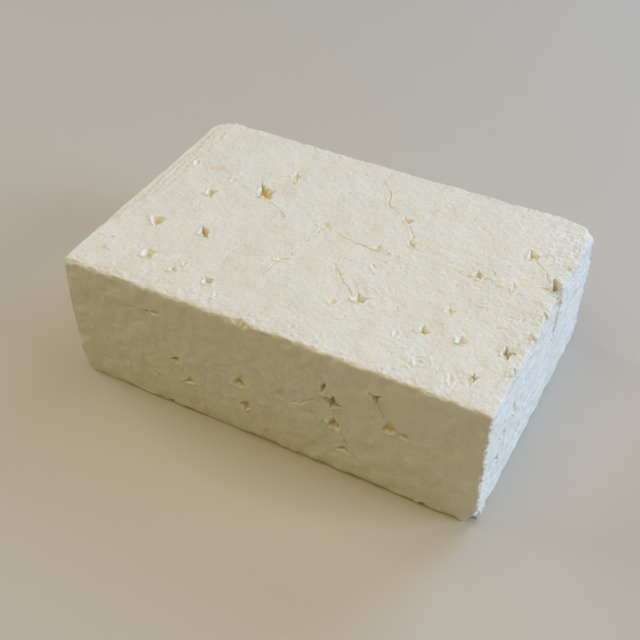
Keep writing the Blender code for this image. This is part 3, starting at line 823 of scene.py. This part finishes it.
def brined_curd():
    """Sheep's milk curd, pressed under its own weight and kept in brine, then cut. It is matt and nearly
    white, and lets light in by a millimetre or less. Deep in its openings it is painted ochre, as painted
    shade for the light bounced and carried through the curd there, and the top's front edge is painted tan as
    a warm glow of light through the edge."""
    material = bpy.data.materials.new("brined_curd")
    material.use_nodes = True
    nodes = material.node_tree.nodes
    nodes.clear()
    place = add(nodes, "ShaderNodeTexCoord").outputs["Object"]
    depth = add(nodes, "ShaderNodeAttribute", {"attribute_name": "opening_depth"}).outputs["Fac"]
    stain_and_edge_glow = add(nodes, "ShaderNodeAttribute", {"attribute_name": "stain"}).outputs["Fac"]
    crumbled = add(nodes, "ShaderNodeAttribute", {"attribute_name": "crumbly"}).outputs["Fac"]
    torn = add(nodes, "ShaderNodeAttribute", {"attribute_name": "torn"}).outputs["Fac"]
    pale = add(nodes, "ShaderNodeAttribute", {"attribute_name": "pale"}).outputs["Fac"]
    cloud = {"Detail": 4.0, "Roughness": 0.6}
    patch = add(nodes, "ShaderNodeTexNoise", Vector=place, Scale=1000 / PATCH_WIDTH, **cloud)
    contrast = add(nodes, "ShaderNodeMapRange", _0=patch.outputs["Fac"], _1=0.35, _2=0.65)
    mix = {"data_type": "RGBA"}
    colours = {"_6": linear("F3F1E7"), "_7": linear("F0EBDD")}
    white = add(nodes, "ShaderNodeMix", mix, _0=contrast.outputs[0], **colours).outputs[2]
    grain = add(nodes, "ShaderNodeTexNoise", Vector=place, Scale=1000 / GRAIN_WIDTH, **cloud).outputs["Fac"]
    speckle = add(nodes, "ShaderNodeMapRange", _0=grain, _1=0.3, _2=0.7, _3=0.0, _4=0.35).outputs[0]
    curd = add(nodes, "ShaderNodeMix", mix, _0=speckle, _6=white, _7=linear("E4E4CE")).outputs[2]
    # The tan mix gives both the stain and the painted warm glow along the top's front edge.
    tan = add(nodes, "ShaderNodeMix", mix, _0=stain_and_edge_glow, _6=curd, _7=linear("E8D9BC")).outputs[2]
    # Painted shade: deeper in the openings the colour turns ochre, standing in for the shade and the warm
    # light bounced inside them.
    ochre = add(nodes, "ShaderNodeMix", mix, _0=depth, _6=tan, _7=linear("E9DEB4")).outputs[2]
    # Painted highlight: the openings' lips are painted near white, and so are flecks on crumbled skin.
    whole = add(nodes, "ShaderNodeMix", mix, _0=pale, _6=ochre, _7=linear("FBFAF4")).outputs[2]
    times = {"operation": "MULTIPLY"}
    run = add(nodes, "ShaderNodeVectorMath", times, _0=place, _1=STREAK_STRETCH).outputs[0]
    streak = add(nodes, "ShaderNodeTexNoise", Vector=run, Scale=1000 / STREAK_WIDTH, **cloud).outputs["Fac"]
    skin = add(nodes, "ShaderNodeMix", {"data_type": "FLOAT"}, _0=torn, _2=grain, _3=streak).outputs[0]
    rough = add(nodes, "ShaderNodeMapRange", _0=crumbled, _3=0.6, _4=1.0).outputs[0]
    bump = add(nodes, "ShaderNodeBump", Height=skin, Strength=rough, Distance=GRAIN_DEPTH)
    shader = add(
        nodes, "ShaderNodeBsdfPrincipled",
        Base_Color=whole, Roughness=0.5, IOR=1.4, Normal=bump.outputs["Normal"],
        Subsurface_Weight=0.3, Subsurface_Radius=(1.0, 0.6, 0.3), Subsurface_Scale=LIGHT_DEPTH,
    )
    output = add(nodes, "ShaderNodeOutputMaterial")
    material.node_tree.links.new(shader.outputs[0], output.inputs["Surface"])
    return material


feta.data.materials.append(brined_curd())
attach(feta, "root")
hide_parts("feta_block")

# The floor. A plain pale studio floor, matt, wide enough to fill the view.
FLOOR_WIDTH = 3.0

bpy.ops.mesh.primitive_plane_add(size=FLOOR_WIDTH)
floor = bpy.context.object
floor.name = "floor"
floor_paint = bpy.data.materials.new("matt_floor_paint")
floor_paint.use_nodes = True
floor_shader = floor_paint.node_tree.nodes["Principled BSDF"]
floor_shader.inputs["Base Color"].default_value = linear("CAC3B6")
floor_shader.inputs["Roughness"].default_value = 0.6
floor.data.materials.append(floor_paint)

# The camera stands in front of the block and to its right, and looks down on it. A camera
# fitted to the block's outline gave its lens, direction, distance and aim.
LENS_MM = 57.1
SENSOR_MM = 36.0
CAMERA_AZIMUTH = 28.14
CAMERA_ELEVATION = 41.91
CAMERA_DISTANCE = 0.2299
CAMERA_AIM = Vector((0.000675, -0.007633, 0.0162))


def toward(azimuth, elevation):
    """The unit vector that stands at this azimuth from the front (-Y) and this elevation."""
    a, e = radians(azimuth), radians(elevation)
    return Vector((sin(a) * cos(e), -cos(a) * cos(e), sin(e)))


def place_facing(thing, eye, target):
    """Puts a camera or a lamp at eye, turned to target, with its own X level."""
    bpy.context.scene.collection.objects.link(thing)
    thing.location = eye
    thing.rotation_euler = (eye - target).to_track_quat("Z", "Y").to_euler()


camera_data = bpy.data.cameras.new("camera")
camera_data.lens = LENS_MM
camera_data.sensor_width = SENSOR_MM
camera_data.clip_start = 0.01
camera = bpy.data.objects.new("camera", camera_data)
eye = CAMERA_AIM + CAMERA_DISTANCE * toward(CAMERA_AZIMUTH, CAMERA_ELEVATION)
place_facing(camera, eye, CAMERA_AIM)
bpy.context.scene.camera = camera

# The light. A room by day: a warm softbox overhead and another high in front, and three cool ones
# low at the right, behind and at the left, as from windows, with a faint warm light all round.
BLOCK_MIDDLE = Vector((0, 0, 0.016))

# Each lamp's azimuth and elevation in degrees, distance and width in metres, watts and colour.
LAMPS = (
    ("overhead", 0, 89, 0.9, 0.9, 3.2, (1.0, 0.64, 0.345)),
    ("right_window", 100, 25, 1.0, 0.5, 6.35, (0.58, 0.756, 1.0)),
    ("back_window", 160, 30, 1.0, 0.5, 5.1, (0.34, 0.60, 1.0)),
    ("left_window", -90, 30, 1.0, 0.6, 4.15, (0.66, 0.88, 1.0)),
    ("room", -10, 55, 1.2, 0.9, 2.1, (1.0, 0.976, 0.19)),
)
AIR_COLOUR = (1.0, 0.25, 0.15, 1.0)
AIR_STRENGTH = 0.045


def softbox(name, azimuth, elevation, distance, size, power, colour):
    """A square lamp that faces the block from this direction."""
    data = bpy.data.lights.new(name, "AREA")
    data.shape = "SQUARE"
    data.size = size
    data.energy = power
    data.color = colour
    lamp = bpy.data.objects.new(name, data)
    place_facing(lamp, distance * toward(azimuth, elevation), BLOCK_MIDDLE)


for lamp in LAMPS:
    softbox(*lamp)

world = bpy.data.worlds.new("world")
world.use_nodes = True
world.node_tree.nodes["Background"].inputs["Color"].default_value = AIR_COLOUR
world.node_tree.nodes["Background"].inputs["Strength"].default_value = AIR_STRENGTH
bpy.context.scene.world = world
bpy.context.scene.view_settings.view_transform = "Standard"
